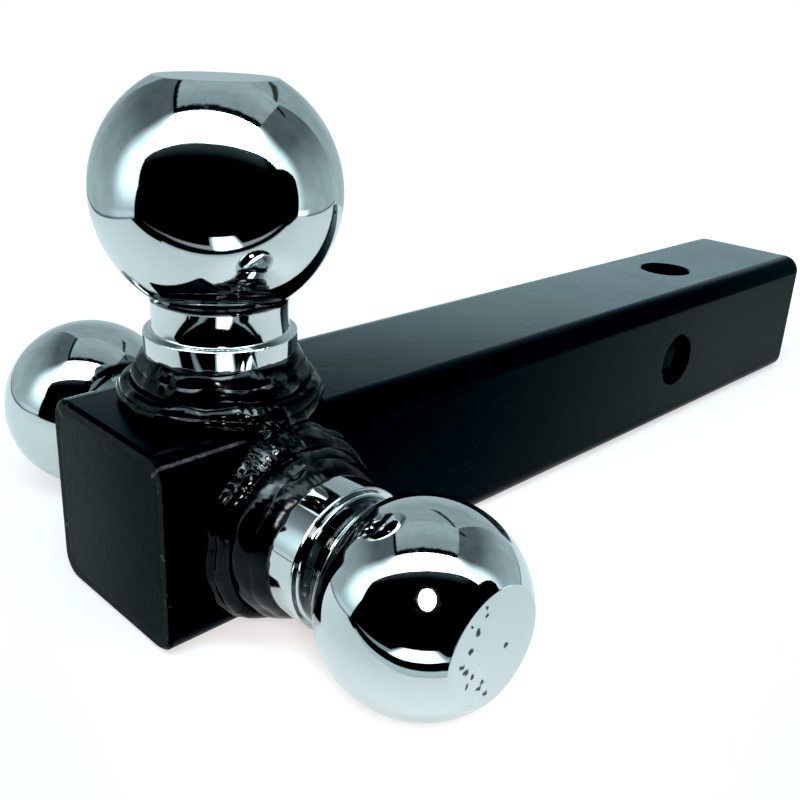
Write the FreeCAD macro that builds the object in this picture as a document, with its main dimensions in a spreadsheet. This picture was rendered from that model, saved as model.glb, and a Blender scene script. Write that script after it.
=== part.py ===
import FreeCAD, Part
import Sketcher
import math
import os

# Receiver-hitch ball mount with three balls.
#
# Frame: +X runs along the shank from the receiver end to the balls, +Z up through
# the largest ball, +Y towards the smallest ball.  The origin is on the shank's
# axis, in the middle of the side-to-side hitch-pin bore.

doc = FreeCAD.newDocument("TriBallMount")
sheet = doc.addObject("Spreadsheet::Sheet", "Dimensions")

V = {}
ROW = [0]


def cell(alias, value, note=""):
    """One driving dimension: a plain number in column B with an alias."""
    ROW[0] += 1
    r = ROW[0]
    sheet.set("A%d" % r, alias)
    sheet.set("B%d" % r, repr(float(value)))
    sheet.setAlias("B%d" % r, alias)
    if note:
        sheet.set("C%d" % r, note)
    V[alias] = float(value)


# Shank
cell("bar_width", 50.8, "2 in square tube, outside")
cell("bar_corner", 6.5, "outside corner radius")
cell("bar_wall", 6.35, "1/4 in wall")
cell("bar_inner_corner", 3.2, "inside corner radius")
cell("bar_length", 317.5, "12-1/2 in")
cell("bar_rear", 97.0, "rear end to the side pin bore")
cell("pin_hole_radius", 9.525, "3/4 in hole for a 5/8 in hitch pin")
cell("top_pin_offset", 27.5, "top pin bore behind the side pin bore")
cell("hole_break", 0.5, "deburring chamfer on the pin holes")
cell("front_bevel", 0.9, "ground rim round the front end")
cell("rear_bevel", 0.5, "deburred rear end")
cell("seam_offset", 13.0, "inside weld seam of the tube, from the middle of the floor")
cell("seam_radius", 2.2, "inside weld seam, flash radius")
cell("seam_rise", 0.9, "inside weld seam, height of the flash")
# Front end cap
cell("cap_thick", 6.35, "1/4 in plate")
cell("cap_gap", 0.1, "plate to tube, all round")
cell("groove_tube", 3.2, "weld preparation on the tube")
cell("groove_cap", 2.6, "weld preparation on the cap")
# Balls
cell("ball_station", 187.5, "all three balls, from the side pin bore")
cell("tenon_radius", 12.7, "locating tenon")
cell("tenon_gap", 0.1, "tenon to its hole")
cell("tenon_break", 0.8, "chamfer on the tenon")
cell("large_radius", 29.369, "2-5/16 in ball")
cell("large_height", 76.0, "centre above the shank's axis")
cell("large_flat", 14.2, "radius of the flat on the crown")
cell("large_neck", 17.0, "")
cell("large_flange", 18.8, "")
cell("large_flange_top", 43.0, "")
cell("medium_radius", 25.4, "2 in ball")
cell("medium_height", 69.4, "")
cell("medium_flat", 12.0, "")
cell("medium_neck", 16.0, "")
cell("medium_flange", 17.8, "")
cell("medium_flange_top", 43.5, "")
cell("small_radius", 23.8125, "1-7/8 in ball")
cell("small_height", 72.4, "")
cell("small_flat", 13.5, "")
cell("small_neck", 15.8, "")
cell("small_flange", 17.8, "")
cell("small_flange_top", 49.6, "")
cell("crown_round", 0.8, "edge of the crown flat")
cell("neck_waist", 32.0, "radius of the neck's slightly hollow waist")
cell("ball_root_fillet", 3.0, "neck to ball")
cell("flange_root_fillet", 0.8, "neck to flange")
cell("flange_round", 0.5, "edge of the flange")
# Fillet welds, heights above the tube face
cell("large_weld_top", 12.6, "top of the weld on the flange")
cell("medium_weld_top", 13.6, "")
cell("small_weld_top", 16.4, "")
cell("weld_foot", 25.1, "foot radius on the tube face")
cell("weld_below", 2.6, "how far the foot follows the tube's rounded edge")
cell("root_leg", 4.6, "leg of the root pass")
cell("ledge_rise", 0.46, "height of the ledge between the two cover passes, part of the top")
cell("ledge_out", 0.56, "how far out the ledge is, part of the leg")
cell("crown_lower", 0.38, "radius of the lower cover bead, part of the weld's height")
cell("crown_upper", 0.42, "radius of the upper cover bead, part of the weld's height")
doc.recompute()


def body(label):
    b = doc.addObject("PartDesign::Body", label)
    b.Label = label
    return b


def plane(b, role):
    for f in b.Origin.OriginFeatures:
        if f.Role == role:
            return f
    raise RuntimeError("no plane " + role)


def new_sketch(b, name, role):
    sk = b.newObject("Sketcher::SketchObject", name)
    sk.AttachmentSupport = (plane(b, role), [""])
    sk.MapMode = "FlatFace"
    return sk


def vec(x, y):
    return FreeCAD.Vector(x, y, 0)


def pin_coordinate(sk, geo, pos, axis, value, expr, tag):
    """Tie one coordinate of a point to the sheet, with a positive dimension."""
    kind = "Distance" + axis
    if abs(value) < 1e-9 and expr is None:
        # on an axis: X coordinate 0 lies on the vertical axis (-2)
        sk.addConstraint(Sketcher.Constraint("PointOnObject", geo, pos, -2 if axis == "X" else -1))
        return
    if value >= 0:
        c = sk.addConstraint(Sketcher.Constraint(kind, -1, 1, geo, pos, value))
    else:
        c = sk.addConstraint(Sketcher.Constraint(kind, geo, pos, -1, 1, -value))
    sk.renameConstraint(c, tag)
    sk.setExpression("Constraints." + tag, expr)


def outline(sk, pts, tag):
    """A closed outline.

    pts: list of (x, x_expr, y, y_expr, arc) where arc is None for a straight
    segment to the next point, or (radius, radius_expr, side) for the minor arc
    that bulges to that side of the direction of travel (+1 left, -1 right).
    Expressions give the absolute value of the coordinate.
    """
    n = len(pts)
    ids = []
    rev = []
    for i in range(n):
        x0, _, y0, _, arc = pts[i]
        x1, _, y1 = pts[(i + 1) % n][0], None, pts[(i + 1) % n][2]
        if arc is None:
            ids.append(sk.addGeometry(Part.LineSegment(vec(x0, y0), vec(x1, y1)), False))
            rev.append(False)
        else:
            # always stored counter-clockwise; an arc that bulges to the left of
            # the direction of travel is run clockwise
            r, rexpr, side = arc
            dx, dy = x1 - x0, y1 - y0
            d = math.hypot(dx, dy)
            off = math.sqrt(max(r * r - d * d / 4.0, 0.0))
            cx = (x0 + x1) / 2.0 + dy / d * side * off
            cy = (y0 + y1) / 2.0 - dx / d * side * off
            a0 = math.atan2(y0 - cy, x0 - cx)
            a1 = math.atan2(y1 - cy, x1 - cx)
            clockwise = side > 0
            if clockwise:
                a0, a1 = a1, a0
            while a1 <= a0:
                a1 += 2 * math.pi
            g = Part.ArcOfCircle(Part.Circle(vec(cx, cy), FreeCAD.Vector(0, 0, 1), r), a0, a1)
            ids.append(sk.addGeometry(g, False))
            rev.append(clockwise)
    start = [2 if rv else 1 for rv in rev]
    end = [1 if rv else 2 for rv in rev]
    for i in range(n):
        j = (i + 1) % n
        sk.addConstraint(Sketcher.Constraint("Coincident", ids[i], end[i], ids[j], start[j]))
    for i in range(n):
        x, xe, y, ye, arc = pts[i]
        pin_coordinate(sk, ids[i], start[i], "X", x, xe, "%s_x%d" % (tag, i))
        pin_coordinate(sk, ids[i], start[i], "Y", y, ye, "%s_y%d" % (tag, i))
        if arc is not None:
            c = sk.addConstraint(Sketcher.Constraint("Radius", ids[i], arc[0]))
            t = "%s_r%d" % (tag, i)
            sk.renameConstraint(c, t)
            sk.setExpression("Constraints." + t, arc[1])
    return ids


def circle(sk, x, xexpr, y, yexpr, r, rexpr, tag):
    k = sk.addGeometry(Part.Circle(vec(x, y), FreeCAD.Vector(0, 0, 1), r), False)
    pin_coordinate(sk, k, 3, "X", x, xexpr, tag + "_x")
    pin_coordinate(sk, k, 3, "Y", y, yexpr, tag + "_y")
    c = sk.addConstraint(Sketcher.Constraint("Radius", k, r))
    sk.renameConstraint(c, tag + "_r")
    sk.setExpression("Constraints." + tag + "_r", rexpr)
    return k


def rounded_square(sk, half, hexpr, r, rexpr, tag):
    """Counter-clockwise square with rounded corners, centred on the origin."""
    a = half - r
    ae = "(%s) - (%s)" % (hexpr, rexpr)
    arc = (r, rexpr, -1)
    outline(sk, [
        (half, hexpr, -a, ae, None),
        (half, hexpr, a, ae, arc),
        (a, ae, half, hexpr, None),
        (-a, ae, half, hexpr, arc),
        (-half, hexpr, a, ae, None),
        (-half, hexpr, -a, ae, arc),
        (-a, ae, -half, hexpr, None),
        (a, ae, -half, hexpr, arc),
    ], tag)


def both_ways(feature):
    """Make a pocket run through everything, to both sides of its sketch."""
    feature.Type = "ThroughAll"
    if "SideType" in feature.PropertiesList:
        feature.SideType = "Symmetric"
    else:
        feature.Midplane = True


def must_cut(b, before, what):
    doc.recompute()
    after = b.Shape.Volume
    if not after < before - 1.0:
        raise RuntimeError("%s cut nothing: %.3f -> %.3f" % (what, before, after))
    return after


def circles_on(shape, test):
    """Names of the circular edges whose centre, axis and radius pass the test."""
    out = []
    for i, e in enumerate(shape.Edges):
        c = e.Curve
        if c.TypeId == "Part::GeomCircle" and test(c.Center, c.Axis, c.Radius, e):
            out.append("Edge%d" % (i + 1))
    return out


H = "Dimensions."
half = V["bar_width"] / 2
HALF = H + "bar_width / 2"

# --------------------------------------------------------------- shank tube
tube = body("shank_tube")
sk = new_sketch(tube, "TubeSection", "YZ_Plane")
rounded_square(sk, half, HALF, V["bar_corner"], H + "bar_corner", "outer")
rounded_square(sk, half - V["bar_wall"], HALF + " - " + H + "bar_wall",
               V["bar_inner_corner"], H + "bar_inner_corner", "inner")
pad = tube.newObject("PartDesign::Pad", "TubeLength")
pad.Profile = sk
pad.setExpression("Length", H + "bar_length")
doc.recompute()
if pad.Shape.BoundBox.XMin < -1e-6:
    pad.Reversed = True
    doc.recompute()

# The upset flash of the tube's own seam, left inside the floor.  It is ground
# away where the end cap goes in.
sk = new_sketch(tube, "SeamSection", "YZ_Plane")
fz = half - V["bar_wall"]
circle(sk, V["seam_offset"], H + "seam_offset",
       -(fz + V["seam_radius"] - V["seam_rise"]),
       HALF + " - " + H + "bar_wall + " + H + "seam_radius - " + H + "seam_rise",
       V["seam_radius"], H + "seam_radius", "seam")
seam = tube.newObject("PartDesign::Pad", "SeamFlash")
seam.Profile = sk
seam.setExpression("Length", H + "bar_length - " + H + "cap_thick - 4")
doc.recompute()
if abs(seam.Shape.BoundBox.XMax - V["bar_length"]) > 1e-6 or seam.Shape.BoundBox.XMin < -1e-6:
    seam.Reversed = not seam.Reversed
    doc.recompute()

# Hitch-pin bores.  The section is drawn from the rear end, so stations are
# measured from there.
vol = tube.Shape.Volume
sk = new_sketch(tube, "SidePinBore", "XZ_Plane")
circle(sk, V["bar_rear"], H + "bar_rear", 0.0, None, V["pin_hole_radius"], H + "pin_hole_radius", "pin")
cut = tube.newObject("PartDesign::Pocket", "SidePinBoreCut")
cut.Profile = sk
both_ways(cut)
vol = must_cut(tube, vol, "side pin bore")
sk = new_sketch(tube, "TopPinBore", "XY_Plane")
circle(sk, V["bar_rear"] - V["top_pin_offset"], H + "bar_rear - " + H + "top_pin_offset",
       0.0, None, V["pin_hole_radius"], H + "pin_hole_radius", "pin")
cut = tube.newObject("PartDesign::Pocket", "TopPinBoreCut")
cut.Profile = sk
both_ways(cut)
vol = must_cut(tube, vol, "top pin bore")

# Holes for the ball tenons: one up through the top wall, one through both sides.
bs = V["bar_rear"] + V["ball_station"]
BS = H + "bar_rear + " + H + "ball_station"
tr = V["tenon_radius"] + V["tenon_gap"]
TR = H + "tenon_radius + " + H + "tenon_gap"
sk = new_sketch(tube, "SideTenonHoles", "XZ_Plane")
circle(sk, bs, BS, 0.0, None, tr, TR, "tenon")
cut = tube.newObject("PartDesign::Pocket", "SideTenonHolesCut")
cut.Profile = sk
both_ways(cut)
vol = must_cut(tube, vol, "side tenon holes")
sk = new_sketch(tube, "TopTenonHole", "XY_Plane")
circle(sk, bs, BS, 0.0, None, tr, TR, "tenon")
cut = tube.newObject("PartDesign::Pocket", "TopTenonHoleCut")
cut.Profile = sk
cut.Type = "ThroughAll"
doc.recompute()


def solid_at(shape, x, y, z):
    return shape.isInside(FreeCAD.Vector(x, y, z), 1e-6, True)


wall_mid = half - V["bar_wall"] / 2
if solid_at(tube.Shape, bs, 0, wall_mid) or not solid_at(tube.Shape, bs, 0, -wall_mid):
    cut.Reversed = not cut.Reversed
    doc.recompute()
vol = must_cut(tube, vol, "top tenon hole")
if solid_at(tube.Shape, bs, 0, wall_mid) or not solid_at(tube.Shape, bs, 0, -wall_mid):
    raise RuntimeError("the top tenon hole is in the wrong wall")

# Deburred pin holes.
names = circles_on(tube.Shape, lambda c, a, r, e: abs(r - V["pin_hole_radius"]) < 1e-6 and
                   max(abs(c.y), abs(c.z)) > half - 1e-6)
if len(names) != 4:
    raise RuntimeError("expected 4 pin hole edges, found %d" % len(names))
ch = tube.newObject("PartDesign::Chamfer", "PinHoleBreaks")
ch.Base = (tube.Tip if tube.Tip != ch else cut, names)
ch.setExpression("Size", H + "hole_break")
vol = must_cut(tube, vol, "pin hole breaks")


def end_loop(shape, x, inside):
    """Edges of the outer or inner outline of one end of the tube."""
    lim = half - V["bar_wall"] / 2
    out = []
    for i, e in enumerate(shape.Edges):
        b = e.BoundBox
        if abs(b.XMin - x) < 1e-4 and abs(b.XMax - x) < 1e-4:
            reach = max(abs(b.YMin), abs(b.YMax), abs(b.ZMin), abs(b.ZMax))
            if (reach < lim) == inside:
                out.append("Edge%d" % (i + 1))
    return out


# Weld preparation round the mouth of the front end, then the ground rims.
prev = ch
ch = tube.newObject("PartDesign::Chamfer", "FrontGroove")
ch.Base = (prev, end_loop(prev.Shape, V["bar_length"], True))
ch.setExpression("Size", H + "groove_tube")
vol = must_cut(tube, vol, "front groove")
prev = ch
ch = tube.newObject("PartDesign::Chamfer", "FrontRim")
outer_edges = [n for n in end_loop(prev.Shape, V["bar_length"], False)
               if max(abs(prev.Shape.getElement(n).BoundBox.YMin), abs(prev.Shape.getElement(n).BoundBox.YMax),
                      abs(prev.Shape.getElement(n).BoundBox.ZMin), abs(prev.Shape.getElement(n).BoundBox.ZMax)) > half - 0.01]
ch.Base = (prev, outer_edges)
ch.setExpression("Size", H + "front_bevel")
vol = must_cut(tube, vol, "front rim")
prev = ch
ch = tube.newObject("PartDesign::Chamfer", "RearRim")
ch.Base = (prev, end_loop(prev.Shape, 0.0, False))
ch.setExpression("Size", H + "rear_bevel")
vol = must_cut(tube, vol, "rear rim")
tube.setExpression("Placement.Base.x", "-" + H + "bar_rear")

# ------------------------------------------------------------ front end cap
cap = body("front_end_cap")
sk = new_sketch(cap, "CapOutline", "YZ_Plane")
ch_ = half - V["bar_wall"] - V["cap_gap"]
CH = HALF + " - " + H + "bar_wall - " + H + "cap_gap"
rounded_square(sk, ch_, CH, V["bar_inner_corner"] - V["cap_gap"],
               H + "bar_inner_corner - " + H + "cap_gap", "edge")
pad = cap.newObject("PartDesign::Pad", "CapPlate")
pad.Profile = sk
pad.setExpression("Length", H + "cap_thick")
doc.recompute()
if pad.Shape.BoundBox.XMin < -1e-6:
    pad.Reversed = True
    doc.recompute()
vol = cap.Shape.Volume
edges = []
for i, e in enumerate(pad.Shape.Edges):
    b = e.BoundBox
    if abs(b.XMin - V["cap_thick"]) < 1e-4 and abs(b.XMax - V["cap_thick"]) < 1e-4:
        edges.append("Edge%d" % (i + 1))
ch = cap.newObject("PartDesign::Chamfer", "CapGroove")
ch.Base = (pad, edges)
ch.setExpression("Size", H + "groove_cap")
vol = must_cut(cap, vol, "cap groove")
cap.setExpression("Placement.Base.x", H + "bar_length - " + H + "bar_rear - " + H + "cap_thick")

# -------------------------------------------------------- front cap weld
# What fills the groove between the cap and the tube, ground flush.
block = doc.addObject("Part::Box", "GrooveBlock")
block.setExpression("Length", H + "groove_tube")
block.setExpression("Width", "2 * (" + HALF + " - " + H + "bar_wall + " + H + "groove_tube) + 1")
block.setExpression("Height", "2 * (" + HALF + " - " + H + "bar_wall + " + H + "groove_tube) + 1")
block.setExpression("Placement.Base.x", H + "bar_length - " + H + "bar_rear - " + H + "groove_tube")
block.setExpression("Placement.Base.y", "-(" + HALF + " - " + H + "bar_wall + " + H + "groove_tube) - 0.5")
block.setExpression("Placement.Base.z", "-(" + HALF + " - " + H + "bar_wall + " + H + "groove_tube) - 0.5")
doc.recompute()
cut1 = doc.addObject("Part::Cut", "GrooveInTube")
cut1.Base = block
cut1.Tool = tube
cut1.Refine = True
doc.recompute()
cap_weld = doc.addObject("Part::Cut", "front_cap_weld")
cap_weld.Label = "front_cap_weld"
cap_weld.Base = cut1
cap_weld.Tool = cap
cap_weld.Refine = True
doc.recompute()

# ------------------------------------------------------------------ balls
# Local frame: Z is the ball's axis, zero on the shank's axis.
PLACE = {"large": FreeCAD.Rotation(FreeCAD.Vector(1, 0, 0), 0),
         "small": FreeCAD.Rotation(FreeCAD.Vector(1, 0, 0), -90),
         "medium": FreeCAD.Rotation(FreeCAD.Vector(1, 0, 0), 90)}


def place(obj, size):
    obj.Placement = FreeCAD.Placement(FreeCAD.Vector(V["ball_station"], 0, 0), PLACE[size])
    obj.setExpression("Placement.Base.x", H + "ball_station")


def make_ball(size):
    b = body(size + "_ball")
    R, hc, fl = V[size + "_radius"], V[size + "_height"], V[size + "_flat"]
    nk, fg, ft = V[size + "_neck"], V[size + "_flange"], V[size + "_flange_top"]
    RE, HE, FE = H + size + "_radius", H + size + "_height", H + size + "_flat"
    NE, GE, TE = H + size + "_neck", H + size + "_flange", H + size + "_flange_top"
    top = hc + math.sqrt(R * R - fl * fl)
    low = hc - math.sqrt(R * R - nk * nk)
    TOP = "%s + sqrt(%s^2 - %s^2)" % (HE, RE, FE)
    LOW = "%s - sqrt(%s^2 - %s^2)" % (HE, RE, NE)
    tn = V["tenon_radius"]
    TN = H + "tenon_radius"
    inner = half - V["bar_wall"]
    INNER = HALF + " - " + H + "bar_wall"
    sk = new_sketch(b, size.capitalize() + "BallProfile", "XZ_Plane")
    # one arc of the ball's own radius runs from the crown flat to the neck
    outline(sk, [
        (0.0, None, top, TOP, None),
        (fl, FE, top, TOP, (R, RE, 1)),
        (nk, NE, low, LOW, (V["neck_waist"], H + "neck_waist", -1)),
        (nk, NE, ft, TE, None),
        (fg, GE, ft, TE, None),
        (fg, GE, half, HALF, None),
        (tn, TN, half, HALF, None),
        (tn, TN, inner, INNER, None),
        (0.0, None, inner, INNER, None),
    ], "p")
    rv = b.newObject("PartDesign::Revolution", size.capitalize() + "BallTurned")
    rv.Profile = sk
    rv.ReferenceAxis = (sk, ["V_Axis"])
    rv.Angle = 360
    doc.recompute()
    last = rv

    def rings(radius, height):
        return circles_on(last.Shape, lambda c, a, r, e: abs(r - radius) < 1e-5 and
                          abs(c.z - height) < 1e-5 and abs(c.x) < 1e-5 and abs(c.y) < 1e-5)

    for kind, name, radius, height, size_alias in (
            ("Fillet", "CrownEdge", fl, top, "crown_round"),
            ("Fillet", "BallRoot", nk, low, "ball_root_fillet"),
            ("Fillet", "FlangeRoot", nk, ft, "flange_root_fillet"),
            ("Fillet", "FlangeEdge", fg, ft, "flange_round"),
            ("Chamfer", "TenonEdge", tn, inner, "tenon_break")):
        e = rings(radius, height)
        if len(e) != 1:
            raise RuntimeError("%s %s: %d edges" % (size, name, len(e)))
        f = b.newObject("PartDesign::" + kind, size.capitalize() + name)
        f.Base = (last, e)
        f.setExpression("Radius" if kind == "Fillet" else "Size", H + size_alias)
        doc.recompute()
        last = f
    place(b, size)
    return b


# ------------------------------------------------------------ fillet welds
def trim_outline(sk, tag):
    """Everything below the tube's outside surface and beyond the two 45 degree
    planes where the weld meets its neighbour's."""
    r = V["bar_corner"]
    RC = H + "bar_corner"
    k = math.sqrt(0.5)
    a, AE = half - r, "%s - %s" % (HALF, RC)
    d, DE = half - r + r * k, "%s - %s + %s * sqrt(0.5)" % (HALF, RC, RC)
    big, BE = half * 2, HALF + " * 2"
    outline(sk, [
        (-big, BE, big, BE, None),
        (-big, BE, -half, HALF, None),
        (big, BE, -half, HALF, None),
        (big, BE, big, BE, None),
        (d, DE, d, DE, (r, RC, 1)),
        (a, AE, half, HALF, None),
        (-a, AE, half, HALF, (r, RC, 1)),
        (-d, DE, d, DE, None),
    ], tag)


def make_weld(size, which):
    b = body("%s_ball_weld_%s_pass" % (size, which))
    rb, RB = V[size + "_flange"], H + size + "_flange"
    foot, FT = V["weld_foot"], H + "weld_foot"
    wt, WT = V[size + "_weld_top"], H + size + "_weld_top"
    leg, LG = V["root_leg"], H + "root_leg"
    dn, DN = V["weld_below"], H + "weld_below"
    z0, Z0 = half, HALF
    # ledge between the lower and the upper cover pass
    jx = rb + (foot - rb) * V["ledge_out"]
    JX = "%s + (%s - %s) * %sledge_out" % (RB, FT, RB, H)
    jz = z0 + wt * V["ledge_rise"]
    JZ = "%s + %s * %sledge_rise" % (Z0, WT, H)
    # middle of the root pass's face
    mx, MX = rb + leg * 0.56, "%s + %s * 0.56" % (RB, LG)
    mz, MZ = z0 + leg * 0.56, "%s + %s * 0.56" % (Z0, LG)
    cap_ = b.Label.replace("_", " ").title().replace(" ", "")
    sk = new_sketch(b, cap_ + "Bead", "XZ_Plane")
    rr, RR = leg * 1.3, LG + " * 1.3"
    if which == "root":
        pts = [
            (rb, RB, z0 - dn, Z0 + " - " + DN, None),
            (rb + leg, RB + " + " + LG, z0 - dn, Z0 + " - " + DN, None),
            (rb + leg, RB + " + " + LG, z0, Z0, (rr, RR, -1)),
            (mx, MX, mz, MZ, (rr, RR, -1)),
            (rb, RB, z0 + leg, Z0 + " + " + LG, None),
        ]
    elif which == "lower":
        pts = [
            (rb + leg, RB + " + " + LG, z0 - dn, Z0 + " - " + DN, None),
            (foot + 0.5, FT + " + 0.5", z0 - dn, Z0 + " - " + DN, None),
            (foot, FT, z0, Z0, (V["crown_lower"] * wt, H + "crown_lower * " + WT, -1)),
            (jx, JX, jz, JZ, None),
            (mx, MX, mz, MZ, (rr, RR, 1)),
            (rb + leg, RB + " + " + LG, z0, Z0, None),
        ]
    else:
        pts = [
            (rb, RB, z0 + leg, Z0 + " + " + LG, (rr, RR, 1)),
            (mx, MX, mz, MZ, None),
            (jx, JX, jz, JZ, (V["crown_upper"] * wt, H + "crown_upper * " + WT, -1)),
            (rb, RB, z0 + wt, Z0 + " + " + WT, None),
        ]
    outline(sk, pts, "w")
    rv = b.newObject("PartDesign::Revolution", cap_ + "Ring")
    rv.Profile = sk
    rv.ReferenceAxis = (sk, ["V_Axis"])
    rv.Angle = 360
    doc.recompute()
    vol = b.Shape.Volume
    sk = new_sketch(b, cap_ + "Seat", "YZ_Plane")
    trim_outline(sk, "t")
    cut = b.newObject("PartDesign::Pocket", cap_ + "SeatCut")
    cut.Profile = sk
    both_ways(cut)
    doc.recompute()
    if which != "upper":
        must_cut(b, vol, b.Label)
    place(b, size)
    return b


pieces = [tube, cap, cap_weld]
for size in ("large", "small", "medium"):
    pieces.append(make_ball(size))
for size in ("large", "small", "medium"):
    for which in ("root", "lower", "upper"):
        pieces.append(make_weld(size, which))
doc.recompute()

# ------------------------------------------------------------ checks, files
for o in doc.Objects:
    bad = [s for s in o.State if s in ("Invalid", "Error")]
    if bad:
        raise RuntimeError("%s: %s" % (o.Name, bad))
    if o.TypeId == "Sketcher::SketchObject":
        o.solve()
        free = o.solve()
        if free != 0:
            raise RuntimeError("sketch %s does not solve: %d" % (o.Name, free))
os.makedirs("parts", exist_ok=True)
total = 0.0
for p in pieces:
    s = p.Shape
    if s.isNull() or not s.isValid():
        raise RuntimeError("%s: shape not valid" % p.Label)
    if len(s.Solids) != 1:
        raise RuntimeError("%s: %d solids" % (p.Label, len(s.Solids)))
    bb = s.BoundBox
    print("%-30s %10.1f mm3  x %.2f..%.2f  y %.2f..%.2f  z %.2f..%.2f" % (
        p.Label, s.Volume, bb.XMin, bb.XMax, bb.YMin, bb.YMax, bb.ZMin, bb.ZMax))
    total += s.Volume
    s.exportStep("parts/%s.step" % p.Label)
print("total %.1f mm3, %.2f kg of steel" % (total, total * 7.85e-6))
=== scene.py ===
import bmesh
import bpy
import math
import numpy as np
from mathutils import Matrix, Vector, noise

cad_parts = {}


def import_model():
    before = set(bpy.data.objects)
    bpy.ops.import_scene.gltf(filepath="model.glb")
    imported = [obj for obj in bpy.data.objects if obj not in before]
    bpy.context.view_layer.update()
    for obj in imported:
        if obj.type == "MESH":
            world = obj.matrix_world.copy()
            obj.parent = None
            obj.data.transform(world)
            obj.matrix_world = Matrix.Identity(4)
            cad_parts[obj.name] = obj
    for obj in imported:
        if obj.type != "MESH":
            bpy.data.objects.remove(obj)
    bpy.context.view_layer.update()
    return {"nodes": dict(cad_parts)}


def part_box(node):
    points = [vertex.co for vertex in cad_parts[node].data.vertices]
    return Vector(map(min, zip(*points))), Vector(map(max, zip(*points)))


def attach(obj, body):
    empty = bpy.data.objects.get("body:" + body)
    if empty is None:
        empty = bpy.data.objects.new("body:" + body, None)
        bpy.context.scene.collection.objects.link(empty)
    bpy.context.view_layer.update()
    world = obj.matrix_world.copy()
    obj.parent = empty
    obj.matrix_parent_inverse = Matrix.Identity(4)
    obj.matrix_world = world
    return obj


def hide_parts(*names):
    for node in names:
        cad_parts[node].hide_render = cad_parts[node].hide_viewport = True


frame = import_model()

nodes = frame["nodes"]

# ------------------------------------------------------------------ the model
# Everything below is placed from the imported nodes.
bar_lo, bar_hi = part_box("shank_tube")
HALF = bar_hi.z                                   # half the bar's outside width
FLOOR = bar_lo.z
CORNER = 0.0065                                   # outside corner radius
FLAT = HALF - CORNER
BALLS = {}
for size in ("large", "small", "medium"):
    lo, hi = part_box(size + "_ball")
    wlo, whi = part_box(size + "_ball_weld_upper_pass")
    axis = {"large": Vector((0, 0, 1)), "small": Vector((0, 1, 0)), "medium": Vector((0, -1, 0))}[size]
    u = Vector((1, 0, 0))
    v = axis.cross(u)
    top = max(abs(lo.dot(axis)), abs(hi.dot(axis)))
    BALLS[size] = {
        "axis": axis, "u": u, "v": v,
        "centre": Vector(((lo.x + hi.x) / 2, 0, 0)),
        "radius": (hi.x - lo.x) / 2,
        "top": top,
        "weld_top": max(abs(wlo.dot(axis)), abs(whi.dot(axis))),
    }
FLANGE = {"large": 0.0188, "small": 0.0178, "medium": 0.0178}     # outside radius of each ball's flange
FOOT = 0.0251
LEG = 0.0046

# ------------------------------------------------------------------ camera
cam_data = bpy.data.cameras.new("Camera")
cam = bpy.data.objects.new("Camera", cam_data)
bpy.context.scene.collection.objects.link(cam)
right = Vector((-0.71167878, 0.70085606, 0.04810516))
down = Vector((0.22630137, 0.29354479, -0.92877292))
ahead = Vector((-0.66505715, -0.65010172, -0.36751428))
rot = Matrix((right, -down, -ahead)).transposed().to_4x4()
cam.matrix_world = Matrix.Translation((0.31635675, 0.18568415, 0.11764033)) @ rot
cam_data.sensor_width = 36
cam_data.lens = 42.8061
cam_data.shift_x = 0.010256
cam_data.shift_y = -0.018984
cam_data.clip_start = 0.005
cam_data.clip_end = 20
bpy.context.scene.camera = cam

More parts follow.
